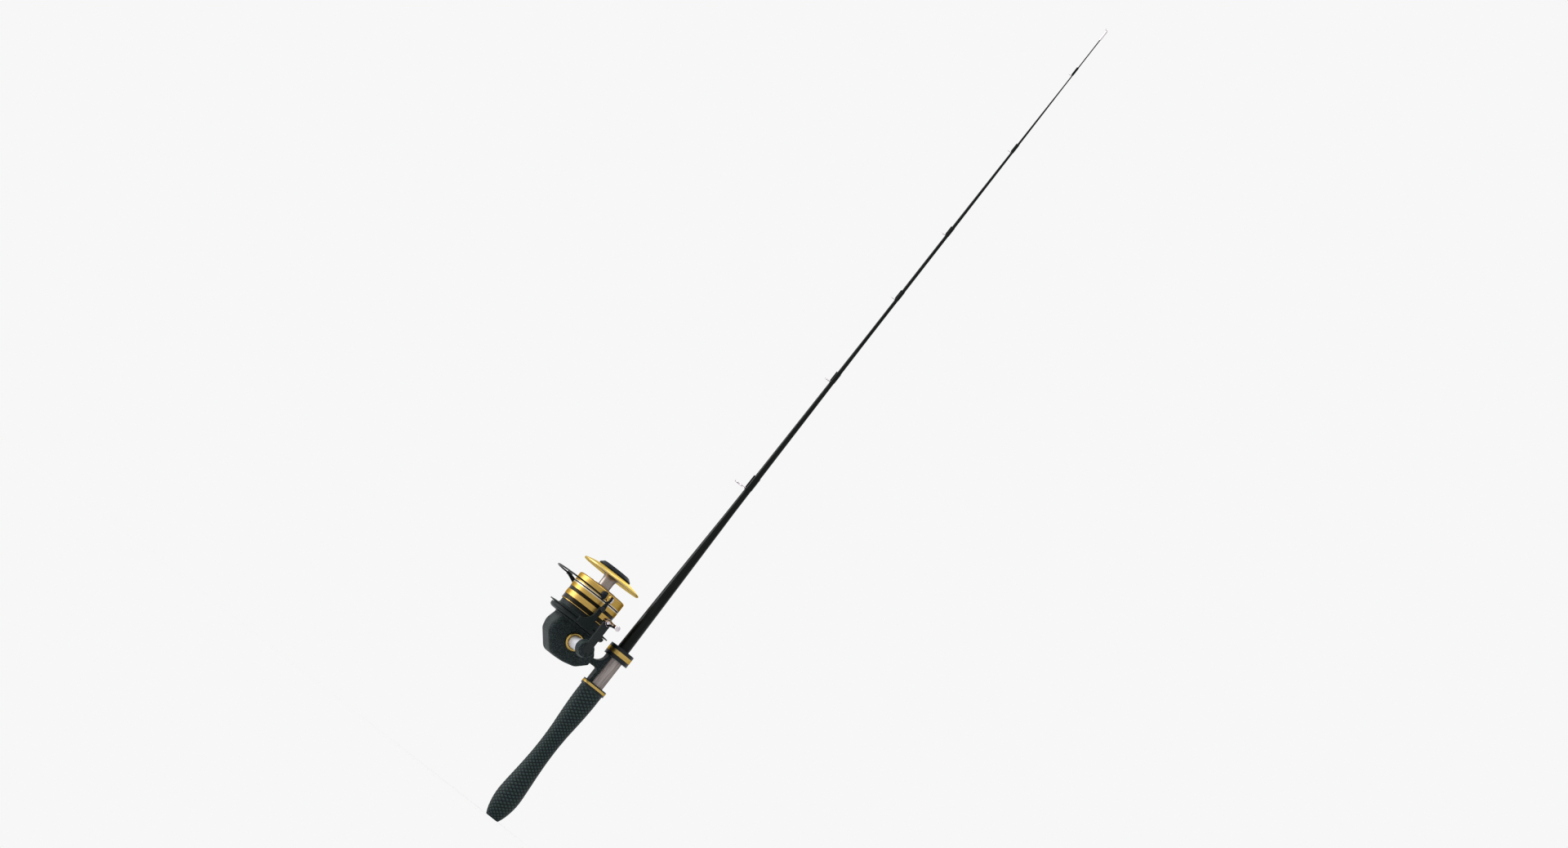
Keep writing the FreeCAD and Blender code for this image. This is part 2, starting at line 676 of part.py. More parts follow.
def pivot_bore(name, side):
    return primitive("Cylinder", name, (d.spool_x, side * 60.0, d.bail_pivot_z),
                     TOWARD_PLUS_Y if side < 0 else TOWARD_MINUS_Y,
                     Radius=d.run_fit + 1.6, Height=20.0)


def make_bail():
    """Near lever with the line roller's bracket, far lever, and the wire between them."""
    low, high = 49.8, 53.8
    near = plate("bail_lever_near_plate", -1.0, [
        (-2.8, 310.0, -2.9), (2.8, 310.0), (2.8, 315.0), (1.7, 321.0), (1.7, 333.0),
        (-1.6, 333.0), (-1.6, 321.0), (-2.8, 315.0)], low, high)
    lug = primitive("Cylinder", "Roller_lug", (d.spool_x + 2.0, -d.bail_side, d.roller_z),
                    TOWARD_MINUS_X, Radius=4.8, Height=3.6)
    near_solid = fuse("Bail_near_joined", [near, lug])
    keep(cut("Bail_near", near_solid, fuse("Bail_near_bores", [
        pivot_bore("Bail_near_bore", -1.0),
        primitive("Cylinder", "Lug_bore", (d.spool_x + 3.0, -d.bail_side, d.roller_z),
                  TOWARD_MINUS_X, Radius=1.5, Height=8.0)])), "bail_lever_near")
    far = plate("bail_lever_far_plate", 1.0, [
        (-4.0, 308.0, -8.0), (4.0, 308.0), (3.6, 317.6), (-8.0, 322.0), (-33.5, d.wire_z + 2.1, -2.15),
        (-33.5, d.wire_z - 2.1), (-12.0, 315.6)], low, high)
    far_socket = primitive("Cylinder", "Far_socket", (d.spool_x - 29.0, d.bail_side, d.wire_z),
                           TOWARD_MINUS_X, Radius=2.3, Height=7.5)
    far_tools = fuse("Bail_far_bores", [
        pivot_bore("Bail_far_bore", 1.0),
        primitive("Cylinder", "Far_wire_bore", (d.spool_x - 31.0, d.bail_side, d.wire_z),
                  TOWARD_MINUS_X, Radius=d.bail_wire, Height=20.0)])
    keep(cut("Bail_far", fuse("Bail_far_joined", [far, far_socket]), far_tools), "bail_lever_far")
    turned("roller_pin", [
        (0.0, -2.0), (4.4, -2.0), (4.8, -1.4), (4.8, -0.02), (1.5, -0.02), (1.5, 12.5), (0.0, 12.5)],
           (d.spool_x + 2.0, -d.bail_side, d.roller_z), TOWARD_MINUS_X)
    turned("line_roller", [
        (1.55, 3.9), (5.4, 3.9), (5.4, 4.7, 2.5), (4.0, 6.4), (4.0, 7.2, 2.5), (5.4, 8.9),
        (5.4, 9.7), (1.55, 9.7)], (d.spool_x + 2.0, -d.bail_side, d.roller_z), TOWARD_MINUS_X)
    turned("wire_housing", [
        (1.5, 10.0), (5.6, 10.0), (5.9, 11.0), (5.7, 13.6), (3.6, 16.4), (0.0, 16.4),
        (0.0, 12.6), (1.5, 12.6)],
           (d.spool_x + 2.0, -d.bail_side, d.roller_z), TOWARD_MINUS_X)
    make_bail_wire()


def make_bail_wire():
    """Bail wire: two straight legs joined by arcs to a round bow outside the spool."""
    side, reach = d.bail_side.value, d.bail_reach.value
    leg_end = -36.0
    # each blending arc touches its leg and the bow
    bend = (leg_end ** 2 + side ** 2 - reach ** 2) / (2.0 * (side - reach))
    centre_y = side - bend
    length = math.hypot(leg_end, centre_y)
    touch = FreeCAD.Vector(leg_end / length * reach, centre_y / length * reach, 0)
    middle = math.atan2((side + touch.y) / 2 - centre_y, (leg_end + touch.x) / 2 - leg_end)
    knee = FreeCAD.Vector(leg_end + bend * math.cos(middle), centre_y + bend * math.sin(middle), 0)

    def mirrored(point):
        return FreeCAD.Vector(point.x, -point.y, 0)

    near_start = FreeCAD.Vector(-14.6, -side, 0)
    far_start = FreeCAD.Vector(-31.0, side, 0)
    near_leg = FreeCAD.Vector(leg_end, -side, 0)
    far_leg = FreeCAD.Vector(leg_end, side, 0)
    path = Part.Wire([
        Part.LineSegment(near_start, near_leg).toShape(),
        Part.Arc(near_leg, mirrored(knee), mirrored(touch)).toShape(),
        Part.Arc(mirrored(touch), FreeCAD.Vector(-reach, 0, 0), touch).toShape(),
        Part.Arc(touch, knee, far_leg).toShape(),
        Part.LineSegment(far_leg, far_start).toShape()])
    section = Part.Wire(Part.makeCircle(d.bail_wire.value, near_start, FreeCAD.Vector(1, 0, 0)))
    wire = path.makePipeShell([section], True, True)
    wire.translate(FreeCAD.Vector(d.spool_x.value, 0, d.wire_z.value))
    solid_feature("bail_wire", wire)


# ---------------------------------------------------------------- spool and main shaft

def make_spool():
    """Spool core with its arbor, banded skirt and front lip."""
    at = (d.spool_x, 0.0, 0.0)
    turned("spool_core", [
        (d.shaft + d.run_fit, 318.0), (6.0, 318.0), (6.0, 334.2), (20.0, 334.2), (20.0, 338.0),
        (d.arbor + 1.2, 338.0, 1.3), (d.arbor, 339.4), (d.arbor, 347.0, 13.0), (12.2, 356.2),
        (22.0, 356.2), (22.0, 361.6), (16.2, 361.6), (16.2, 358.4),
        (d.shaft + d.run_fit, 358.4)], at)
    turned("spool_skirt", [
        (d.skirt_inner, d.skirt_low), (d.skirt_outer, d.skirt_low), (d.skirt_outer, 294.8),
        (d.skirt_outer - 0.35, 294.9), (d.skirt_outer - 0.35, 301.1), (d.skirt_outer, 301.2),
        (d.skirt_outer, 308.8), (d.skirt_outer - 0.35, 308.9), (d.skirt_outer - 0.35, 313.7),
        (d.skirt_outer, 313.8), (d.skirt_outer, 321.5), (d.skirt_outer - 0.3, 321.6),
        (d.skirt_outer - 0.3, 322.8), (d.skirt_outer, 322.9), (d.skirt_outer, 334.3, -2.6),
        (d.skirt_outer - 2.5, d.skirt_high), (20.0, d.skirt_high + 0.8), (20.0, 334.2),
        (33.0, 334.2), (d.skirt_inner, 331.0)], at)
    turned("spool_lip", [
        (22.0, 356.2), (36.0, 355.4), (44.0, 354.4, -1.6), (d.lip, d.lip_z - 1.0, -1.6),
        (d.lip - 0.8, d.lip_z + 0.6), (38.0, 359.6), (26.6, 361.9), (22.0, 361.9)], at)
    make_drag()
    make_main_shaft()


def make_drag():
    """Drag washers in the spool's cup, and the knob that presses on them."""
    at = (d.spool_x, 0.0, 0.0)
    washers = []
    for index in range(3):
        low = 358.45 + 1.0 * index
        washer = primitive("Cylinder", "Washer_blank_%d" % index, at[:2] + (low,),
                           Radius=15.6, Height=0.95)
        hole = primitive("Cylinder", "Washer_hole_%d" % index, at[:2] + (low - 1.0,),
                         Radius=2.2, Height=3.0)
        washers.append(cut("Washer_%d" % index, washer, hole))
    group = doc.addObject("Part::Compound", "Drag_washers")
    group.Links = washers
    keep(group, "drag_washers")
    turned("drag_knob", [
        (2.05, 361.9), (9.0, 361.9), (9.0, 362.4), (d.drag_base - 0.8, 362.4),
        (d.drag_base, 363.2), (d.drag_base - 0.6, 364.6), (d.drag_face, d.drag_top - 0.8),
        (d.drag_face - 1.0, d.drag_top), (6.0, d.drag_top - 0.5), (0.0, d.drag_top - 0.5),
        (0.0, 366.4), (2.05, 366.4)], at)


def make_main_shaft():
    """Shaft that carries the spool, its support under the spool, and the slider that moves it."""
    at = (d.spool_x, 0.0, 0.0)
    turned("main_shaft", [(0.0, 236.4), (1.7, 236.4), (d.shaft, 236.9), (d.shaft, 365.7),
                          (1.6, 366.2), (0.0, 366.2)], at)
    ring("spool_support", d.shaft, 5.6, 313.6, 317.9, at)
    slider = primitive("Box", "Slider_block", (d.spool_x - 5.0, -4.6, 238.0),
                       Length=10.0, Width=7.6, Height=7.6)
    keep(cut("Slider", slider, primitive("Cylinder", "Slider_bore", (d.spool_x, 0.0, 236.0),
                                         Radius=d.shaft, Height=12.0)), "oscillation_slider")


# ---------------------------------------------------------------- crank

def make_crank():
    """Polished shaft sleeve, hub, flat arm and the turning peg knob."""
    at = (d.crank_x, 0.0, d.crank_z)
    turned("handle_shaft", [
        (d.axle, 10.0), (7.3, 10.0), (7.3, 20.0), (8.7, 20.0), (9.0, 20.3), (9.0, d.hub_back),
        (d.axle, d.hub_back)], at, TOWARD_MINUS_Y)
    hub = new_body("hub_turned")
    revolve(hub, "Handle_hub_turned", [
        (0.0, d.hub_back), (d.hub_radius - 0.9, d.hub_back), (d.hub_radius, d.hub_back + 0.9),
        (d.hub_radius - 0.4, d.hub_back + 5.0), (11.2, d.hub_face - 1.0),
        (10.2, d.hub_face), (0.0, d.hub_face)])
    place(hub, at, TOWARD_MINUS_Y)
    half = d.crank_arm_width / 2
    bar = new_body("crank_arm_bar")
    pad(bar, "Crank_arm_pad", [
        (-half, -4.0), (half, -4.0), (half, d.crank_radius - 2.0), (-half, d.crank_radius - 2.0)],
        4.4)
    place(bar, (d.crank_x, -77.4, d.crank_z))
    keep(cut("Handle_hub_slotted", hub, bar), "handle_hub")
    knob_at = (d.crank_x, 0.0, d.crank_z + d.crank_radius)
    saddle = primitive("Cylinder", "Post_saddle", (d.crank_x, -60.0, d.crank_z + d.crank_radius),
                       TOWARD_MINUS_Y, Radius=5.0, Height=30.0)
    keep(cut("Crank_arm_saddled", bar, saddle), "crank_arm")
    turned("knob_post", [
        (0.0, 67.6), (3.2, 67.6, -2.6), (5.0, 69.6), (5.0, 82.0), (1.2, 82.0), (1.2, 116.0),
        (2.0, 116.0), (2.0, 117.2), (0.0, 117.2)], knob_at, TOWARD_MINUS_Y)
    turned("peg_knob", [
        (1.25, 82.2), (4.5, 82.2), (4.8, 83.2), (4.5, 88.0, 60.0), (2.9, 104.0, 60.0),
        (3.9, d.knob_end - 1.4, -1.6), (2.6, d.knob_end), (0.0, d.knob_end), (0.0, 118.0),
        (2.05, 118.0), (2.05, 115.7), (1.25, 115.7)], knob_at, TOWARD_MINUS_Y)


# ---------------------------------------------------------------- build everything
make_grip()
blank_taper = make_blank()
make_collars()
make_guides()
make_case()
make_case_fittings()
make_pinion()
make_drive_gear()
make_rotor()
make_bail()
make_spool()
make_crank()

doc.recompute()
for thing in doc.Objects:
    if "Invalid" in thing.State or "Error" in thing.State:
        raise RuntimeError("%s did not build: %s" % (thing.Name, thing.State))
os.makedirs("parts", exist_ok=True)
for sub_part in sub_parts:
    shape = sub_part.Shape
    if shape.isNull() or not shape.isValid():
        raise RuntimeError("%s has no valid shape" % sub_part.Label)
    shape.exportStep("parts/%s.step" % sub_part.Label)
    print(sub_part.Label, len(shape.Solids), round(shape.Volume, 1))
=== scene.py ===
"""Spinning rod and reel: studio scene, finishes and the pieces modelled over the frame."""
import math

import bmesh
import bpy
from mathutils import Matrix, Vector


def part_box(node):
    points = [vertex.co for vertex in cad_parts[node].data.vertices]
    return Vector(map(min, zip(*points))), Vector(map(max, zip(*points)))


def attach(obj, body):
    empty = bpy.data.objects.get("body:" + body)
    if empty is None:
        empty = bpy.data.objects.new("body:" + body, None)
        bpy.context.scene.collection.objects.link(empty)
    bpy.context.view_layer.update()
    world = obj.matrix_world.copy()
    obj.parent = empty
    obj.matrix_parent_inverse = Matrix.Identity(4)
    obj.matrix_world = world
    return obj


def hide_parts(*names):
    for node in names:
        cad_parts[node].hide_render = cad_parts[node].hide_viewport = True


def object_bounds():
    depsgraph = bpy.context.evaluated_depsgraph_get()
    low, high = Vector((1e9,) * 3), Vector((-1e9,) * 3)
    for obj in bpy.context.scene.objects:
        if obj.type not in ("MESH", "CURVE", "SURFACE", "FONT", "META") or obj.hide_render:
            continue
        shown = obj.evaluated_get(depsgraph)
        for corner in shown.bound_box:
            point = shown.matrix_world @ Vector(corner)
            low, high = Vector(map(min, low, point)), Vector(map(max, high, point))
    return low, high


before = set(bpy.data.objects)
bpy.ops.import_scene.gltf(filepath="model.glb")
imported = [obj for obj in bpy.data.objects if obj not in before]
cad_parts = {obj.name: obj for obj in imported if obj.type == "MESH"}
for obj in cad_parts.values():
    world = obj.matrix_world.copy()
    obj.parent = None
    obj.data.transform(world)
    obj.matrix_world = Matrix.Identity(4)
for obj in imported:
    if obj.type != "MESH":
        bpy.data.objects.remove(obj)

cad_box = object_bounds()
MM = 0.001
# how far a streak's noise is squeezed along the rod, so that it runs long and thin
STREAK_SQUEEZE = 0.03


# ------------------------------------------------------------------ node helpers

def linear(hex_colour):
    """An sRGB hex colour as linear RGBA."""
    parts = [int(hex_colour[i:i + 2], 16) / 255.0 for i in (1, 3, 5)]
    parts = [c / 12.92 if c <= 0.04045 else ((c + 0.055) / 1.055) ** 2.4 for c in parts]
    return (*parts, 1.0)


def add(tree, kind, inputs=None, stops=(), **settings):
    """Add a node with its settings, colour stops and inputs, and return its outputs.

    Inputs are keyed by a socket's name or place; each is a plain value or a node's output.
    Stops are (position, sRGB hex or grey) pairs; with them, the settings are the ramp's.
    """
    node = tree.nodes.new(kind)
    holder = node.color_ramp if stops else node
    for name, value in settings.items():
        setattr(holder, name, value)
    for place, (position, tone) in enumerate(stops):
        elements = node.color_ramp.elements
        element = elements[place] if place < len(elements) else elements.new(position)
        element.position = position
        element.color = linear(tone) if isinstance(tone, str) else (tone, tone, tone, 1.0)
    for key, value in (inputs or {}).items():
        if isinstance(value, bpy.types.NodeSocket):
            tree.links.new(value, node.inputs[key])
        else:
            node.inputs[key].default_value = value
    return node.outputs


def new_material(name):
    """A node material, its tree, and the sockets of its Principled shader."""
    material = bpy.data.materials.new(name)
    material.use_nodes = True
    tree = material.node_tree
    return material, tree, tree.nodes["Principled BSDF"].inputs


def place_in_mm(tree):
    """Object coordinates in millimetres."""
    coordinates = add(tree, "ShaderNodeTexCoord")["Object"]
    return add(tree, "ShaderNodeVectorMath", {"Vector": coordinates, "Scale": 1.0 / MM},
               operation="SCALE")["Vector"]


# ------------------------------------------------------------------ finishes

def moulded_grip_rubber():
    """Moulded rubber: black-green and dull, with painted shade darkening its colour down in the
    grooves between its scales.
    """
    material, tree, surface = new_material("moulded_grip_rubber")
    pit_mm, pit_depth_mm, pit_share = 0.4, 0.05, 0.15
    painted_groove_shade = add(tree, "ShaderNodeAttribute", attribute_name="scale_height")["Fac"]
    pits = add(tree, "ShaderNodeTexNoise",
               {"Vector": place_in_mm(tree), "Scale": 1.0 / pit_mm, "Detail": 2.0})["Fac"]
    # the scales' height sets the colour, so the grooves get painted shade; the pits add random tone
    tone = add(tree, "ShaderNodeMix", {0: pit_share, 2: painted_groove_shade, 3: pits}, data_type="FLOAT")[0]
    colour = add(tree, "ShaderNodeValToRGB", {"Fac": tone},
                 [(0.1, "#020506"), (0.5, "#141d1d"), (0.95, "#313f3f")])["Color"]
    bump = add(tree, "ShaderNodeBump", {"Height": pits, "Distance": pit_depth_mm * MM})["Normal"]
    tree.links.new(colour, surface["Base Color"])
    tree.links.new(bump, surface["Normal"])
    surface["Roughness"].default_value = 0.5
    surface["Specular IOR Level"].default_value = 0.12
    return material


def crinkle_enamel(name, dark, light, grain_mm, depth_mm, roughness):
    """Baked crinkle enamel: near-black with a fine leathery grain, its tops lighter in colour as a
    painted highlight.
    """
    material, tree, surface = new_material(name)
    cells = add(tree, "ShaderNodeTexVoronoi",
                {"Vector": place_in_mm(tree), "Scale": 1.0 / grain_mm, "Smoothness": 0.5},
                feature="SMOOTH_F1")["Distance"]
    # the grain tops take the light colour as a painted highlight, and the same tops are raised by the
    # bump
    top = add(tree, "ShaderNodeValToRGB", {"Fac": cells}, [(0.1, 1.0), (0.6, 0.0)])["Color"]
    colour = add(tree, "ShaderNodeValToRGB", {"Fac": top}, [(0.1, dark), (0.95, light)])["Color"]
    bump = add(tree, "ShaderNodeBump", {"Height": top, "Distance": depth_mm * MM})["Normal"]
    tree.links.new(colour, surface["Base Color"])
    tree.links.new(bump, surface["Normal"])
    surface["Roughness"].default_value = roughness
    surface["Specular IOR Level"].default_value = 0.12
    return material


def satin_black_enamel():
    """Satin enamel of the collars, hood and nut: black, faintly uneven in its gloss."""
    material, tree, surface = new_material("satin_black_enamel")
    cloud_mm = 4.0
    cloud = add(tree, "ShaderNodeTexNoise",
                {"Vector": place_in_mm(tree), "Scale": 1.0 / cloud_mm, "Detail": 5.0})["Fac"]
    colour = add(tree, "ShaderNodeValToRGB", {"Fac": cloud}, [(0.3, "#080c0e"), (0.7, "#10171a")])
    gloss = add(tree, "ShaderNodeValToRGB", {"Fac": cloud}, [(0.3, 0.26), (0.7, 0.38)])
    tree.links.new(colour["Color"], surface["Base Color"])
    tree.links.new(gloss["Color"], surface["Roughness"])
    surface["Specular IOR Level"].default_value = 0.25
    return material


def turned_metal(name, dark, light, roughness, axis_x=0.0):
    """Lathe-turned metal: fine rings round its own axis, which stands at axis_x in millimetres.

    Real tool marks are about 0.05 mm apart; they are drawn ten times coarser so that they show.
    """
    material, tree, surface = new_material(name)
    ring_mm, ring_depth_mm = 0.5, 0.006
    place = place_in_mm(tree)
    outward = add(tree, "ShaderNodeVectorMath",
                  {0: place, 1: (1.0, 1.0, 0.0), 2: (-axis_x, 0.0, 0.0)},
                  operation="MULTIPLY_ADD")["Vector"]
    radius = add(tree, "ShaderNodeVectorMath", {0: outward}, operation="LENGTH")["Value"]
    height = add(tree, "ShaderNodeSeparateXYZ", {0: place})["Z"]
    profile = add(tree, "ShaderNodeCombineXYZ", {"X": radius, "Y": height})[0]
    rings = add(tree, "ShaderNodeTexNoise", {"Vector": profile, "Scale": 1.0 / ring_mm, "Detail": 2.0},
                noise_dimensions="2D")["Fac"]
    colour = add(tree, "ShaderNodeValToRGB", {"Fac": rings}, [(0.3, dark), (0.7, light)])
    gloss = add(tree, "ShaderNodeValToRGB", {"Fac": rings},
                [(0.3, roughness + 0.06), (0.7, roughness)])
    bump = add(tree, "ShaderNodeBump", {"Height": rings, "Distance": ring_depth_mm * MM})["Normal"]
    tree.links.new(colour["Color"], surface["Base Color"])
    tree.links.new(gloss["Color"], surface["Roughness"])
    tree.links.new(bump, surface["Normal"])
    surface["Metallic"].default_value = 1.0
    surface["Specular Tint"].default_value = linear(light)
    return material


def banded_skirt():
    """Anodised aluminium skirt: gold, with black and silver bands and fine rings round it.

    The rings are drawn about ten times coarser than tool marks so that they show.
    """
    material, tree, surface = new_material("banded_anodised_aluminium")
    # where each band starts, in millimetres above the skirt's lower edge
    bands = [(0.0, "gold"), (0.6, "black"), (7.15, "gold"), (14.85, "black"), (19.75, "gold"),
             (26.2, "silver"), (27.2, "black"), (29.2, "silver"), (30.2, "gold")]
    span = 60.0
    rings_per_mm, ring_depth_mm = 1.6, 0.008
    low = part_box("spool_skirt")[0][2] / MM
    height = add(tree, "ShaderNodeSeparateXYZ", {0: place_in_mm(tree)})["Z"]
    above = add(tree, "ShaderNodeMath", {0: height, 1: low}, operation="SUBTRACT")[0]
    share = add(tree, "ShaderNodeMath", {0: above, 1: span}, operation="DIVIDE")[0]
    mask = {}
    for colour_name in ("gold", "black"):
        stops = [(start / span, float(name == colour_name)) for start, name in bands]
        mask[colour_name] = add(tree, "ShaderNodeValToRGB", {"Fac": share}, stops,
                                interpolation="CONSTANT")["Color"]
    rings = add(tree, "ShaderNodeTexNoise", {"W": height, "Scale": rings_per_mm, "Detail": 3.0},
                noise_dimensions="1D")["Fac"]
    gold_tone = add(tree, "ShaderNodeValToRGB", {"Fac": rings},
                    [(0.3, "#957a3d"), (0.7, "#c8a55c")])["Color"]
    groove = add(tree, "ShaderNodeMix",
                 {0: mask["black"], 6: linear("#cfc8bd"), 7: linear("#0b0e0e")},
                 data_type="RGBA")[2]
    banded = add(tree, "ShaderNodeMix", {0: mask["gold"], 6: groove, 7: gold_tone},
                 data_type="RGBA")[2]
    metal = add(tree, "ShaderNodeMath", {0: 1.0, 1: mask["black"]}, operation="SUBTRACT")[0]
    gloss = add(tree, "ShaderNodeValToRGB", {"Fac": rings}, [(0.3, 0.42), (0.7, 0.34)])["Color"]
    bump = add(tree, "ShaderNodeBump", {"Height": rings, "Distance": ring_depth_mm * MM})["Normal"]
    tree.links.new(banded, surface["Base Color"])
    tree.links.new(metal, surface["Metallic"])
    tree.links.new(gloss, surface["Roughness"])
    tree.links.new(bump, surface["Normal"])
    surface["Specular Tint"].default_value = linear("#c8a55c")
    surface["Specular IOR Level"].default_value = 0.2
    return material


def brushed_seat():
    """Aluminium tube brushed lengthwise: warm grey, with long streaks.

    Real brush marks are about 0.1 mm wide; they are drawn coarser so that they show.
    """
    material, tree, surface = new_material("lengthwise_brushed_aluminium")
    streaks_per_mm, streak_depth_mm = 1.3, 0.02
    stretched = add(tree, "ShaderNodeMapping",
                    {"Vector": place_in_mm(tree), "Scale": (1.0, 1.0, STREAK_SQUEEZE)})["Vector"]
    streaks = add(tree, "ShaderNodeTexNoise",
                  {"Vector": stretched, "Scale": streaks_per_mm, "Detail": 4.0})["Fac"]
    colour = add(tree, "ShaderNodeValToRGB", {"Fac": streaks}, [(0.3, "#6f6765"), (0.7, "#a59c98")])
    gloss = add(tree, "ShaderNodeValToRGB", {"Fac": streaks}, [(0.3, 0.46), (0.7, 0.36)])
    bump = add(tree, "ShaderNodeBump", {"Height": streaks, "Distance": streak_depth_mm * MM})
    tree.links.new(colour["Color"], surface["Base Color"])
    tree.links.new(gloss["Color"], surface["Roughness"])
    tree.links.new(bump["Normal"], surface["Normal"])
    surface["Metallic"].default_value = 1.0
    surface["Specular Tint"].default_value = linear("#a59c98")
    return material


def coated_graphite():
    """Clear lacquer over dark graphite cloth: near-black, with faint streaks along the blank."""
    material, tree, surface = new_material("coated_graphite")
    streaks_per_mm = 0.9
    stretched = add(tree, "ShaderNodeMapping",
                    {"Vector": place_in_mm(tree), "Scale": (1.0, 1.0, STREAK_SQUEEZE)})["Vector"]
    streaks = add(tree, "ShaderNodeTexNoise",
                  {"Vector": stretched, "Scale": streaks_per_mm, "Detail": 4.0})["Fac"]
    colour = add(tree, "ShaderNodeValToRGB", {"Fac": streaks}, [(0.35, "#020303"), (0.7, "#0f1614")])
    gloss = add(tree, "ShaderNodeValToRGB", {"Fac": streaks}, [(0.3, 0.2), (0.7, 0.34)])
    tree.links.new(colour["Color"], surface["Base Color"])
    tree.links.new(gloss["Color"], surface["Roughness"])
    surface["Specular IOR Level"].default_value = 0.12
    return material


def polished_chrome():
    """Plated chrome: bright and warm, with faint polishing haze."""
    material, tree, surface = new_material("polished_chrome")
    haze_mm = 3.0
    haze = add(tree, "ShaderNodeTexNoise",
               {"Vector": place_in_mm(tree), "Scale": 1.0 / haze_mm, "Detail": 4.0})["Fac"]
    colour = add(tree, "ShaderNodeValToRGB", {"Fac": haze}, [(0.3, "#bbb4b8"), (0.7, "#d6cfd3")])
    gloss = add(tree, "ShaderNodeValToRGB", {"Fac": haze}, [(0.3, 0.06), (0.7, 0.14)])
    tree.links.new(colour["Color"], surface["Base Color"])
    tree.links.new(gloss["Color"], surface["Roughness"])
    surface["Metallic"].default_value = 1.0
    surface["Specular Tint"].default_value = linear("#c8c1c5")
    return material


def polished_nickel():
    """Polished nickel of the handle shaft: near-white, soft enough not to mirror the case.

    Its polishing rings are drawn coarser than real ones so that they show.
    """
    material, tree, surface = new_material("polished_nickel")
    rings_per_mm = 0.8
    along_axle = add(tree, "ShaderNodeSeparateXYZ", {0: place_in_mm(tree)})["Y"]
    rings = add(tree, "ShaderNodeTexNoise", {"W": along_axle, "Scale": rings_per_mm, "Detail": 2.0},
                noise_dimensions="1D")["Fac"]
    colour = add(tree, "ShaderNodeValToRGB", {"Fac": rings}, [(0.3, "#d2d0d6"), (0.7, "#f2f2f6")])
    gloss = add(tree, "ShaderNodeValToRGB", {"Fac": rings}, [(0.3, 0.5), (0.7, 0.4)])
    tree.links.new(colour["Color"], surface["Base Color"])
    tree.links.new(gloss["Color"], surface["Roughness"])
    surface["Metallic"].default_value = 0.55
    return material


def smooth_moulding(name, dark, light, roughness, specular=0.25):
    """Smooth dark piece, moulded, lacquered or felted: slight unevenness in colour and surface."""
    material, tree, surface = new_material(name)
    cloud_mm, cloud_depth_mm = 1.2, 0.01
    cloud = add(tree, "ShaderNodeTexNoise",
                {"Vector": place_in_mm(tree), "Scale": 1.0 / cloud_mm, "Detail": 3.0})["Fac"]
    colour = add(tree, "ShaderNodeValToRGB", {"Fac": cloud}, [(0.35, dark), (0.65, light)])
    bump = add(tree, "ShaderNodeBump", {"Height": cloud, "Distance": cloud_depth_mm * MM})
    tree.links.new(colour["Color"], surface["Base Color"])
    tree.links.new(bump["Normal"], surface["Normal"])
    surface["Roughness"].default_value = roughness
    surface["Specular IOR Level"].default_value = specular
    return material


SPOOL_X = (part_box("main_shaft")[0][0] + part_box("main_shaft")[1][0]) / 2 / MM

grip_rubber = moulded_grip_rubber()
# the second colour of each enamel is its painted highlight on the grain tops
case_enamel = crinkle_enamel("case_crinkle_enamel", "#0e1517", "#3c4948",
                             grain_mm=1.1, depth_mm=0.2, roughness=0.5)
rotor_enamel = crinkle_enamel("rotor_crinkle_enamel", "#0d1415", "#263130",
                              grain_mm=0.7, depth_mm=0.07, roughness=0.42)
collar_enamel = satin_black_enamel()
gold = turned_metal("gold_anodised_aluminium", "#9c7f40", "#d3b469", roughness=0.3)
gold_lip = turned_metal("gold_anodised_spool_lip", "#b59a5c", "#dcc889",
                        roughness=0.36, axis_x=SPOOL_X)
skirt_bands = banded_skirt()
seat_metal = brushed_seat()
arbor_metal = turned_metal("satin_turned_aluminium", "#857c77", "#a79e98",
                           roughness=0.34, axis_x=SPOOL_X)
steel = turned_metal("turned_steel", "#8a8888", "#a9a6a5", roughness=0.28, axis_x=SPOOL_X)
dark_steel = smooth_moulding("blackened_steel", "#0d1011", "#171b1c", roughness=0.35)
brass = turned_metal("machined_brass", "#8f7236", "#b3914b", roughness=0.32, axis_x=SPOOL_X)
chrome = polished_chrome()
shaft_nickel = polished_nickel()
blank_lacquer = coated_graphite()
cap_nylon = smooth_moulding("glass_filled_nylon", "#0a1014", "#121a20",
                            roughness=0.5, specular=0.12)
wire_paint = smooth_moulding("black_lacquered_wire", "#050606", "#0a0c0d",
                             roughness=0.3, specular=0.15)
felt = smooth_moulding("oiled_felt", "#5a4c38", "#6e5f49", roughness=0.9)
arm_enamel = smooth_moulding("crank_arm_enamel", "#0e1314", "#182020", roughness=0.42)

FINISHES = {
    "rear_grip": grip_rubber, "rod_blank": blank_lacquer, "guide_wraps": blank_lacquer,
    "seat_tube": seat_metal, "lower_collar": collar_enamel, "lower_collar_ring": gold,
    "sliding_hood": collar_enamel, "lock_nut": collar_enamel, "lock_nut_ring": gold,
    "tip_top": chrome, "reel_case": case_enamel, "side_cover": case_enamel,
    "cover_screws": steel, "far_bush": steel, "axle_cap": case_enamel, "near_bush": steel,
    "bezel": gold, "rotor_bearing": steel, "anti_reverse_lever": cap_nylon, "pinion": brass,
    "drive_gear": brass, "rotor": rotor_enamel, "rotor_nut": steel, "bail_pivot_screws": dark_steel,
    "bail_lever_near": cap_nylon, "bail_lever_far": cap_nylon, "roller_pin": chrome,
    "line_roller": gold, "wire_housing": cap_nylon, "bail_wire": wire_paint,
    "spool_core": arbor_metal, "spool_skirt": skirt_bands, "spool_lip": gold_lip,
    "drag_washers": felt, "drag_knob": cap_nylon, "main_shaft": steel, "spool_support": steel,
    "oscillation_slider": brass, "handle_shaft": shaft_nickel, "handle_hub": case_enamel,
    "crank_arm": arm_enamel, "knob_post": chrome, "peg_knob": chrome,
}
for number in range(1, 7):
    FINISHES["line_guide_%d" % number] = chrome
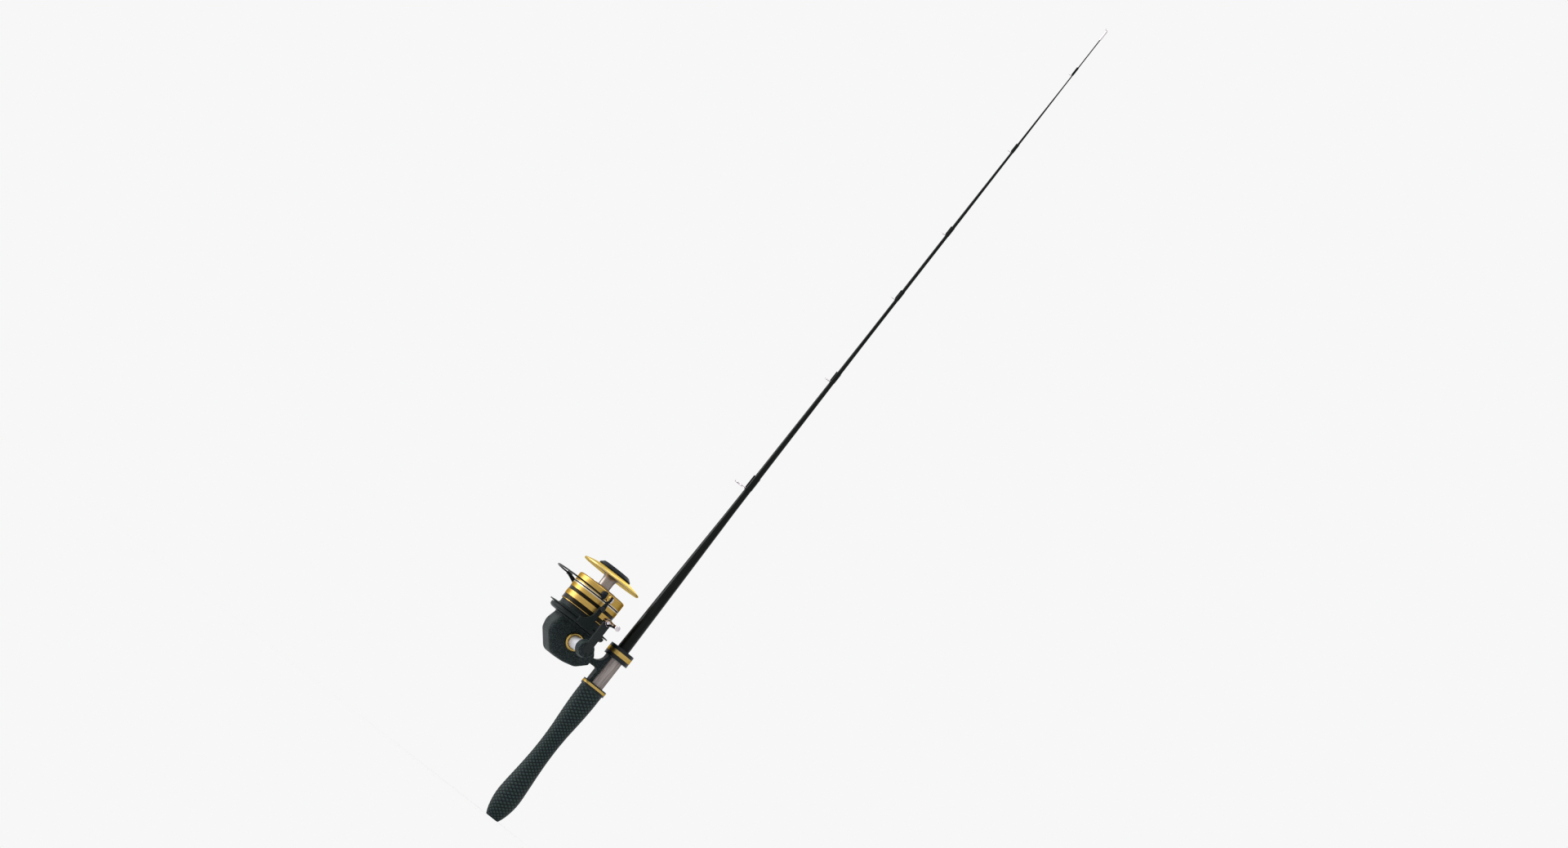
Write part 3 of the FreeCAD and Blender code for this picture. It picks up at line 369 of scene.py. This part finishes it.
for node_name, node_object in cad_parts.items():
    for material_slot in node_object.material_slots:
        material_slot.material = FINISHES[node_name]


# ------------------------------------------------------------------ rear grip

# height and radius of the grip in millimetres, from the butt up to the lower collar
GRIP_PROFILE = [(0.0, 8.6), (0.5, 9.6), (2.2, 10.9), (6.0, 12.6), (13.4, 14.9), (24.7, 17.1),
                (36.0, 17.9), (47.0, 17.5), (58.0, 16.7), (69.5, 15.75), (81.0, 14.8),
                (103.0, 13.5), (125.0, 13.1), (148.0, 13.8), (165.0, 15.1), (182.0, 16.3),
                (200.0, 17.1), (219.5, 17.3)]
GRIP_TOP = GRIP_PROFILE[-1][0]
SCALES_AROUND = 24
# real scales are about 3 mm tall; these are larger so that they show
SCALE_TALL = 5.4
SCALE_DEPTH = 0.5
# share of a scale that is flat on top, and how sharply it falls away beyond that
SCALE_FLAT, SCALE_FALL = 0.35, 1.6
# the rows of scales drift up and down a little along the grip
DRIFT, DRIFT_LENGTH = 0.12, 23.0
# the scales fade out over this height at both ends
PLAIN_END, FADE_TOP = 4.0, GRIP_TOP + 0.2


def smooth_profile(height):
    """Radius at a height, on a smooth curve through GRIP_PROFILE."""
    points = GRIP_PROFILE
    last = len(points) - 2
    place = max(0, min(last, sum(1 for z, _ in points if z <= height) - 1))

    def slope(index):
        low, high = points[max(0, index - 1)], points[min(len(points) - 1, index + 1)]
        return (high[1] - low[1]) / (high[0] - low[0])

    (z0, r0), (z1, r1) = points[place], points[place + 1]
    span = z1 - z0
    t = (height - z0) / span
    return (r0 * (1 + 2 * t) * (1 - t) ** 2 + r1 * t * t * (3 - 2 * t)
            + slope(place) * span * t * (1 - t) ** 2 + slope(place + 1) * span * t * t * (t - 1))


def scale_height(height, turn):
    """How far a point stands out of the grooves, 0 to 1, on diamond scales in slanted rows."""
    rise = height / SCALE_TALL + DRIFT * math.sin(height / DRIFT_LENGTH)
    across = turn * SCALES_AROUND / 2.0
    edge = max(abs((rise + lean * across) % 1.0 - 0.5) * 2.0 for lean in (1.0, -1.0))
    top = 1.0 - max(0.0, (edge - SCALE_FLAT) / (1.0 - SCALE_FLAT)) ** SCALE_FALL
    ends = min(1.0, max(0.0, height / PLAIN_END), max(0.0, (FADE_TOP - height) / PLAIN_END))
    return 1.0 - (1.0 - top) * ends


def make_grip():
    """Grip turned to a smooth profile, with its scales cut in as real grooves."""
    columns, step, shortest = 240, 0.6, 0.1
    # rows stand closer round the butt's rounded edge
    heights = [0.0, 0.25, 0.5, 1.0, 1.6]
    while heights[-1] + step < GRIP_TOP - shortest:
        heights.append(heights[-1] + step)
    heights.append(GRIP_TOP)
    mesh = bmesh.new()
    # each vertex keeps its scale height, which the rubber's colour turns into painted shade in the
    # grooves
    layer = mesh.verts.layers.float.new("scale_height")
    rows = []
    for height in heights:
        radius = smooth_profile(height)
        row = []
        for column in range(columns):
            turn = column / columns
            stands = scale_height(height, turn)
            r = (radius - SCALE_DEPTH * (1.0 - stands)) * MM
            angle = 2.0 * math.pi * turn
            vertex = mesh.verts.new((r * math.cos(angle), r * math.sin(angle), height * MM))
            vertex[layer] = stands
            row.append(vertex)
        rows.append(row)
    for low, high in zip(rows, rows[1:]):
        for column in range(columns):
            after = (column + 1) % columns
            mesh.faces.new((low[column], low[after], high[after], high[column]))
    for row, height in ((rows[0], heights[0]), (rows[-1], heights[-1])):
        middle = mesh.verts.new((0.0, 0.0, height * MM))
        middle[layer] = 1.0
        for column in range(columns):
            ends = (row[column], row[(column + 1) % columns])
            order = ends[::-1] if row is rows[0] else ends
            mesh.faces.new((*order, middle))
    data = bpy.data.meshes.new("embossed_grip")
    mesh.to_mesh(data)
    mesh.free()
    data.shade_smooth()
    grip = bpy.data.objects.new("embossed_grip", data)
    bpy.context.collection.objects.link(grip)
    data.materials.append(grip_rubber)
    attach(grip, "rod")
    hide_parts("rear_grip")


make_grip()


# ------------------------------------------------------------------ studio

def make_studio():
    """Pale world and shadow-keeping floor."""
    world = bpy.data.worlds.new("studio_world")
    bpy.context.scene.world = world
    world.use_nodes = True
    tree = world.node_tree
    tree.nodes.clear()
    path = add(tree, "ShaderNodeLightPath")
    bounced = add(tree, "ShaderNodeMath", {0: path["Is Glossy Ray"], 1: path["Is Transmission Ray"]},
                  operation="MAXIMUM")[0]
    direct = add(tree, "ShaderNodeMath", {0: path["Is Camera Ray"], 1: bounced},
                 operation="MAXIMUM")[0]
    fill = add(tree, "ShaderNodeBackground", {"Color": linear("#f4f6fa"), "Strength": 0.55})[0]
    seen = add(tree, "ShaderNodeBackground", {"Color": linear("#f7f7f7"), "Strength": 1.0})[0]
    mixed = add(tree, "ShaderNodeMixShader", {0: direct, 1: fill, 2: seen})[0]
    add(tree, "ShaderNodeOutputWorld", {"Surface": mixed})

    floor_mesh = bpy.data.meshes.new("studio_floor")
    half, clearance = 3.0, 0.0002
    floor_mesh.from_pydata([(-half, -half, 0), (half, -half, 0), (half, half, 0), (-half, half, 0)],
                           [], [(0, 1, 2, 3)])
    floor = bpy.data.objects.new("studio_floor", floor_mesh)
    bpy.context.collection.objects.link(floor)
    floor.location.z = cad_box[0][2] - clearance
    material, _, surface = new_material("pale_studio_floor")
    surface["Base Color"].default_value = linear("#f7f7f7")
    surface["Roughness"].default_value = 0.9
    floor_mesh.materials.append(material)
    floor.is_shadow_catcher = True


def add_lamp(name, target, azimuth, elevation, distance, size, power):
    """A square soft lamp aimed at the target from a compass direction round the rod."""
    lamp_data = bpy.data.lights.new(name, "AREA")
    lamp_data.shape = "RECTANGLE"
    lamp_data.size, lamp_data.size_y = size
    lamp_data.energy = power
    lamp = bpy.data.objects.new(name, lamp_data)
    bpy.context.collection.objects.link(lamp)
    turn, rise = math.radians(azimuth), math.radians(elevation)
    away = Vector((math.sin(turn) * math.cos(rise), -math.cos(turn) * math.cos(rise),
                   math.sin(rise)))
    lamp.location = Vector(target) + away * distance
    lamp.rotation_euler = away.to_track_quat("Z", "Y").to_euler()


def make_camera():
    """Long-lens camera near the floor, rolled so that the rod leans across the frame."""
    azimuth, pitch, roll = math.radians(-20.0), math.radians(4.8), math.radians(38.06)
    distance, aim_right, aim_share = 7.9, -0.0169, 0.4865
    right = Vector((math.cos(azimuth), math.sin(azimuth), 0.0))
    forward = Vector((-math.sin(azimuth) * math.cos(pitch), math.cos(azimuth) * math.cos(pitch),
                      math.sin(pitch)))
    upward = right.cross(forward)
    rod_height = cad_box[1][2]
    aim = right * aim_right + Vector((0.0, 0.0, rod_height * aim_share))
    side = right * math.cos(roll) + upward * math.sin(roll)
    top = upward * math.cos(roll) - right * math.sin(roll)
    camera_data = bpy.data.cameras.new("studio_camera")
    camera_data.lens = 132.7
    camera_data.sensor_width = 36.0
    camera_data.clip_end = 50.0
    camera = bpy.data.objects.new("studio_camera", camera_data)
    bpy.context.collection.objects.link(camera)
    turn = Matrix((side, top, -forward)).transposed().to_4x4()
    camera.matrix_world = Matrix.Translation(aim - forward * distance) @ turn
    bpy.context.scene.camera = camera


make_studio()
reel_middle = [(low + high) / 2 for low, high in zip(*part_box("spool_core"))]
add_lamp("left_softbox", reel_middle, azimuth=-112.0, elevation=18.0, distance=2.0,
         size=(1.0, 1.6), power=34.0)
add_lamp("front_softbox", reel_middle, azimuth=-25.0, elevation=62.0, distance=2.4,
         size=(1.2, 1.2), power=22.0)
add_lamp("back_strip", reel_middle, azimuth=150.0, elevation=35.0, distance=2.2,
         size=(0.8, 1.6), power=9.0)
make_camera()

bpy.context.scene.view_settings.view_transform = "Standard"
